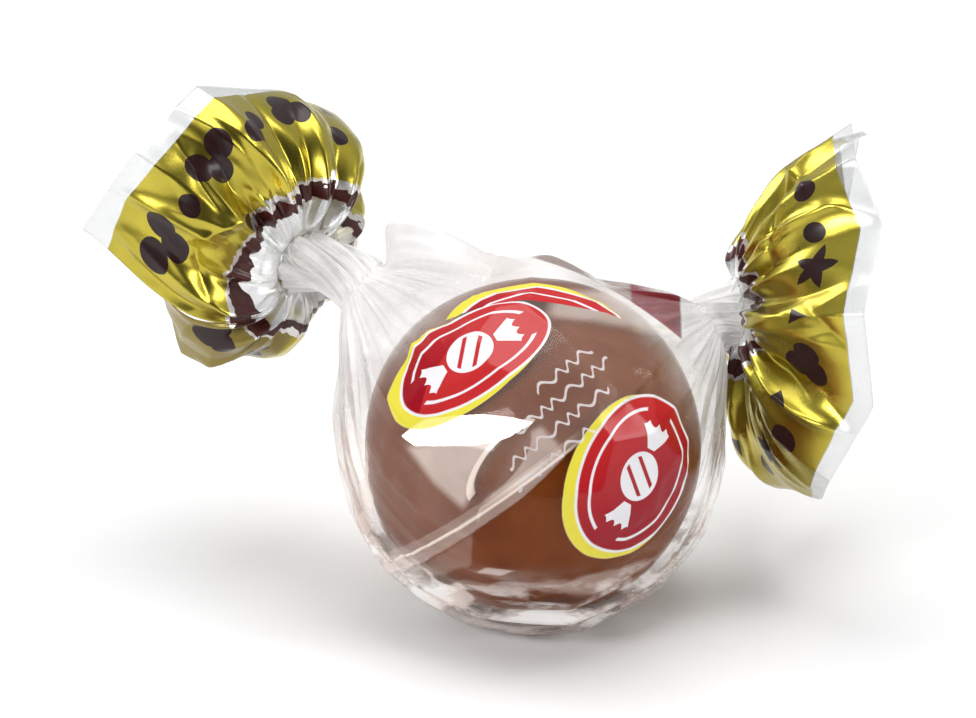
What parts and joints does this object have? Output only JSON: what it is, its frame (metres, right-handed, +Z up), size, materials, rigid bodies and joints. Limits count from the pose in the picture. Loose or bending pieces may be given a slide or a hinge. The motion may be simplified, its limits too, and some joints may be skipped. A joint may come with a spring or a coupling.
{
  "type": "filled hard candy in a twist wrapper",
  "caption": "Round filled hard candy, twist-wrapped in clear printed film that opens into a gold fan at each end.",
  "frame": {"origin": "on the floor below the middle of the candy ball, in the flat spot the wrapper rests on", "axes": "+X along the wrapper to its right fan, +Y away from the viewer of the picture, +Z up"},
  "size_m": [0.0523, 0.0315, 0.0343],
  "materials": {
    "film_over_candy": "brown candy seen through thin clear film",
    "candy": "boiled sugar with a milky bloom, smooth, slightly translucent",
    "clear_film": "clear creased packing film, white where it is gathered and twisted",
    "printed_film": "clear film with opaque red ovals edged in yellow",
    "gold_film": "metallised gold print with dark brown dots, creased, clear along the cut edge"
  },
  "bodies": {
    "root": {"wrapped_candy": "film_over_candy"}
  },
  "joints": []
}
